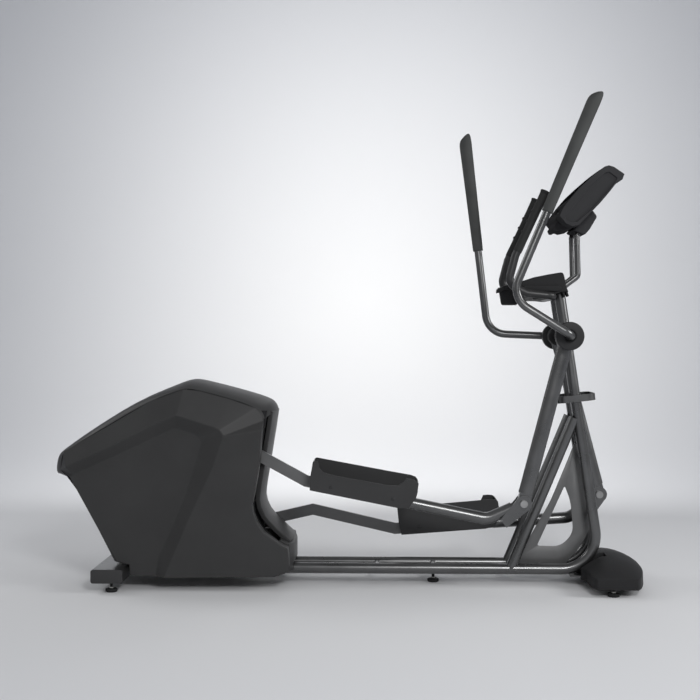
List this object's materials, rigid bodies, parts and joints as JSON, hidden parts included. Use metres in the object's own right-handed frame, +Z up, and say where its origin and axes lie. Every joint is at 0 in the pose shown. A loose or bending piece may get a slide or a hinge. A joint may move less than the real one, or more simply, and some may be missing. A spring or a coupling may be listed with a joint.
{
  "type": "elliptical trainer",
  "caption": "Rear-drive elliptical trainer: cranks in a low rear housing move pedal arms hung from swinging arms with moving handles; mast with fixed handlebar, tray and console.",
  "frame": {"origin": "on the floor under the middle of the overall box", "axes": "+X is the way the user faces, +Y is the user's left, +Z is up"},
  "size_m": [2.115, 0.528, 1.6992],
  "materials": {
    "belt_rubber": "ribbed belt",
    "black_paint": "black powder coat",
    "bracket_steel": "zinc plated",
    "bushing": "plain bearing metal",
    "cast_iron": "machined rim",
    "console_plastic": "fine-grained moulding",
    "cover_plastic": "fine-grained moulding",
    "dark_steel": "black painted steel",
    "display_glass": "glossy dark window",
    "foam_grip": "closed-cell foam, matt",
    "foot_rubber": "moulded rubber, matt",
    "grip_rubber": "moulded rubber",
    "gunmetal_paint": "metallic gunmetal powder coat",
    "hub_plastic": "satin moulding",
    "key_plastic": "satin key caps",
    "pedal_plastic": "textured moulding",
    "plate_paint": "metallic grey powder coat",
    "pulley_plastic": "moulded pulley",
    "shell_plastic": "fine-grained moulding",
    "steel": "turned steel"
  },
  "bodies": {
    "frame": {"accessory_tray": "cover_plastic", "brake_magnet_bracket": "bracket_steel", "console_back": "console_plastic", "console_bezel": "console_plastic", "console_posts": "gunmetal_paint", "console_screen": "display_glass", "crank_bearings": "bushing", "drive_belt": "belt_rubber", "drive_centre_cover": "shell_plastic", "drive_plates": "plate_paint", "fixed_bar_caps": "cover_plastic", "fixed_handlebar": "black_paint", "flywheel_axle": "steel", "frame_cross_tubes": "gunmetal_paint", "front_stabiliser": "gunmetal_paint", "front_stabiliser_cover": "cover_plastic", "left_drive_shell": "shell_plastic", "left_mast_brace": "gunmetal_paint", "left_rail_and_mast": "gunmetal_paint", "mast_gusset": "plate_paint", "mast_hoop": "gunmetal_paint", "mast_top_plugs": "cover_plastic", "pivot_axle": "steel", "pivot_bushings": "bushing", "pivot_cross_tube": "gunmetal_paint", "pulse_grips": "grip_rubber", "rear_stabiliser": "gunmetal_paint", "rear_stabiliser_caps": "cover_plastic", "right_drive_shell": "shell_plastic", "right_mast_brace": "gunmetal_paint", "right_rail_and_mast": "gunmetal_paint"},
    "centre_foot": {"centre_foot": "foot_rubber"},
    "console_key_1": {"console_key_1": "key_plastic"},
    "console_key_2": {"console_key_2": "key_plastic"},
    "console_key_3": {"console_key_3": "key_plastic"},
    "left_front_foot": {"left_front_foot": "foot_rubber"},
    "left_rear_foot": {"left_rear_foot": "foot_rubber"},
    "right_front_foot": {"right_front_foot": "foot_rubber"},
    "right_rear_foot": {"right_rear_foot": "foot_rubber"},
    "right_swing": {"right_swing_tube": "gunmetal_paint", "right_pivot_hub": "hub_plastic", "right_handle_tube": "gunmetal_paint", "right_handle_grip": "foam_grip"},
    "right_pedal_arm": {"right_pedal_bar": "plate_paint", "right_arm_tube": "gunmetal_paint", "right_pivot_bolt": "steel", "right_pedal_tray": "pedal_plastic"},
    "left_swing": {"left_swing_tube": "gunmetal_paint", "left_pivot_hub": "hub_plastic", "left_handle_tube": "gunmetal_paint", "left_handle_grip": "foam_grip"},
    "left_pedal_arm": {"left_pedal_bar": "plate_paint", "left_arm_tube": "gunmetal_paint", "left_pivot_bolt": "steel", "left_pedal_tray": "pedal_plastic"},
    "crankset": {"crank_axle": "steel", "crank_pulley": "pulley_plastic", "right_crank_arm": "dark_steel", "left_crank_arm": "dark_steel"},
    "flywheel": {"flywheel": "cast_iron"}
  },
  "joints": [
    {"name": "right_swing", "type": "hinge", "parent": "frame", "child": "right_swing", "pos_m": [0.781, 0, 0.881], "axis": [0, -1, 0], "range_deg": [-7.03, 39.33]},
    {"name": "left_swing", "type": "hinge", "parent": "frame", "child": "left_swing", "pos_m": [0.781, 0, 0.881], "axis": [0, -1, 0], "range_deg": [-36.63, 6.63]},
    {"name": "right_pedal_arm", "type": "hinge", "parent": "right_swing", "child": "right_pedal_arm", "pos_m": [0.62824, 0, 0.30077], "axis": [0, -1, 0], "range_deg": [-36.68, 6.64]},
    {"name": "left_pedal_arm", "type": "hinge", "parent": "left_swing", "child": "left_pedal_arm", "pos_m": [0.93376, 0, 0.30077], "axis": [0, -1, 0], "range_deg": [-5.86, 32.35]},
    {"name": "crank_turn", "type": "hinge", "parent": "frame", "child": "crankset", "pos_m": [-0.575, 0, 0.353], "axis": [0, -1, 0], "range_deg": [-128.2, 23]},
    {"name": "flywheel_turn", "type": "hinge", "parent": "frame", "child": "flywheel", "pos_m": [-0.4, 0, 0.21], "axis": [0, -1, 0], "range_deg": [-768.69, 137.48]},
    {"name": "right_rear_foot_turn", "type": "hinge", "parent": "frame", "child": "right_rear_foot", "pos_m": [-0.795, -0.205, 0.02], "axis": [0, 0, 1], "continuous": true},
    {"name": "left_rear_foot_turn", "type": "hinge", "parent": "frame", "child": "left_rear_foot", "pos_m": [-0.795, 0.205, 0.02], "axis": [0, 0, 1], "continuous": true},
    {"name": "centre_foot_turn", "type": "hinge", "parent": "frame", "child": "centre_foot", "pos_m": [0.321, 0, 0.02], "axis": [0, 0, 1], "continuous": true},
    {"name": "right_front_foot_turn", "type": "hinge", "parent": "frame", "child": "right_front_foot", "pos_m": [0.922, -0.235, 0.02], "axis": [0, 0, 1], "continuous": true},
    {"name": "left_front_foot_turn", "type": "hinge", "parent": "frame", "child": "left_front_foot", "pos_m": [0.922, 0.235, 0.02], "axis": [0, 0, 1], "continuous": true},
    {"name": "console_key_1_press", "type": "slide", "parent": "frame", "child": "console_key_1", "axis": [0.7156, 0, -0.6985], "range_m": [0, 0.0012], "stiffness_N_per_m": 400, "springref_m": -0.0004},
    {"name": "console_key_2_press", "type": "slide", "parent": "frame", "child": "console_key_2", "axis": [0.7156, 0, -0.6985], "range_m": [0, 0.0012], "stiffness_N_per_m": 400, "springref_m": -0.0004},
    {"name": "console_key_3_press", "type": "slide", "parent": "frame", "child": "console_key_3", "axis": [0.7156, 0, -0.6985], "range_m": [0, 0.0012], "stiffness_N_per_m": 400, "springref_m": -0.0004}
  ],
  "couplings": [
    {"joint": "left_swing", "follows": "right_swing", "ratio": -0.9288},
    {"joint": "right_pedal_arm", "follows": "right_swing", "ratio": -0.93},
    {"joint": "left_pedal_arm", "follows": "right_swing", "ratio": 0.82},
    {"joint": "crank_turn", "follows": "right_swing", "ratio": -3.257},
    {"joint": "flywheel_turn", "follows": "right_swing", "ratio": -19.542}
  ]
}
